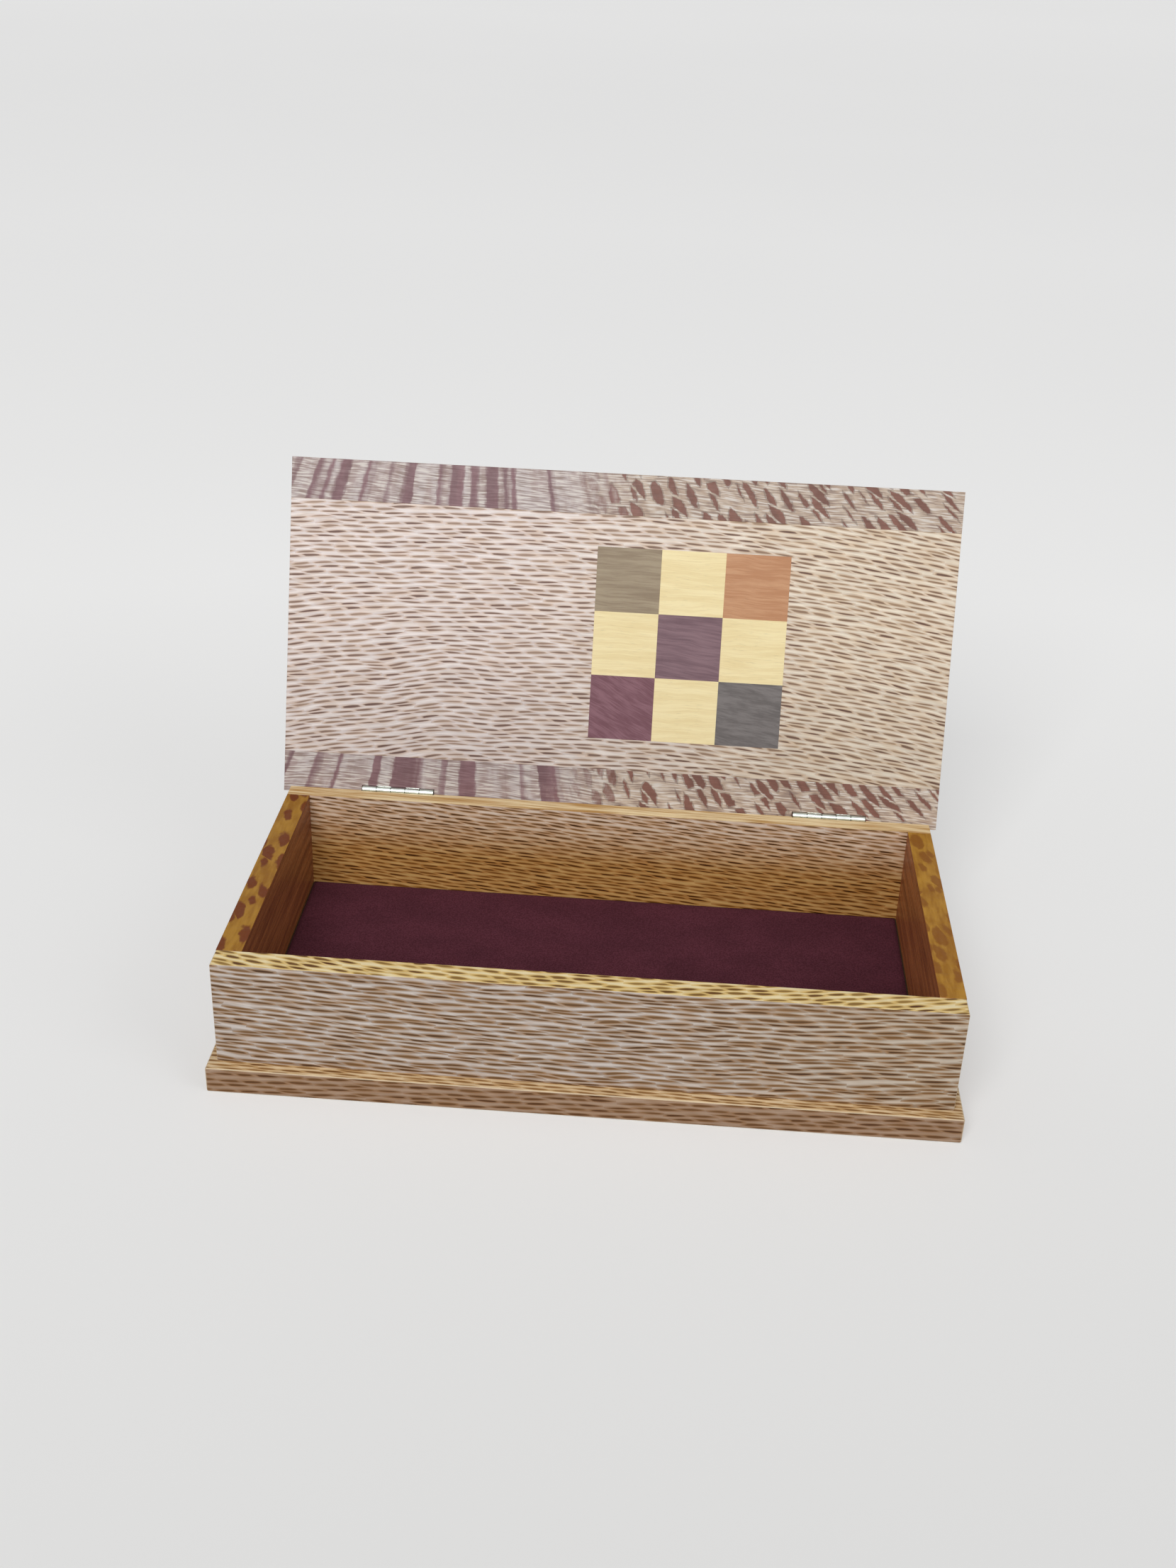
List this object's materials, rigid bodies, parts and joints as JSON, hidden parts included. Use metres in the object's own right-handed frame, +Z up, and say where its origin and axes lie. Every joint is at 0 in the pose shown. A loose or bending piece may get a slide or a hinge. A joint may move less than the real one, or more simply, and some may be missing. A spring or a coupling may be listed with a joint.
{
  "type": "wooden keepsake box",
  "caption": "Rectangular wooden keepsake box with a projecting base board, felt floor and hinged lid that carries a checker inlay of contrasting woods.",
  "frame": {"origin": "centre of the base board's underside", "axes": "+X to the right seen from the front, +Y to the back where the hinges are, +Z up"},
  "size_m": [0.277, 0.1944, 0.1834],
  "materials": {
    "lacewood": "satin lacquer over flecked lacewood",
    "side_wood": "satin lacquer over golden spotted lacewood",
    "lid_wood": "satin lacquer over fine-flecked lacewood",
    "band_wood": "satin lacquer over broad-flecked lacewood",
    "olive_wood": "satin lacquer",
    "yellow_wood": "satin lacquer",
    "orange_wood": "satin lacquer",
    "purple_wood": "satin lacquer",
    "maroon_wood": "satin lacquer",
    "grey_wood": "satin lacquer",
    "felt": "matt wool felt",
    "nickel": "polished nickel plate"
  },
  "bodies": {
    "box": {"base_plate": "lacewood", "felt_lining": "felt", "front_wall": "lacewood", "back_wall": "lacewood", "left_side": "side_wood", "right_side": "side_wood", "left_wall_leaf": "nickel", "left_hinge_pin": "nickel", "right_wall_leaf": "nickel", "right_hinge_pin": "nickel"},
    "lid": {"lid_front_band": "band_wood", "lid_centre_board": "lid_wood", "lid_back_band": "band_wood", "inlay_front_left": "olive_wood", "inlay_front_centre": "yellow_wood", "inlay_front_right": "orange_wood", "inlay_middle_left": "yellow_wood", "inlay_middle_centre": "purple_wood", "inlay_middle_right": "yellow_wood", "inlay_back_left": "maroon_wood", "inlay_back_centre": "yellow_wood", "inlay_back_right": "grey_wood", "left_lid_leaf": "nickel", "right_lid_leaf": "nickel"}
  },
  "joints": [
    {"name": "lid_hinge", "type": "hinge", "parent": "box", "child": "lid", "pos_m": [0, 0.06822, 0.0535], "axis": [1, 0, 0], "range_deg": [0, 109]}
  ]
}
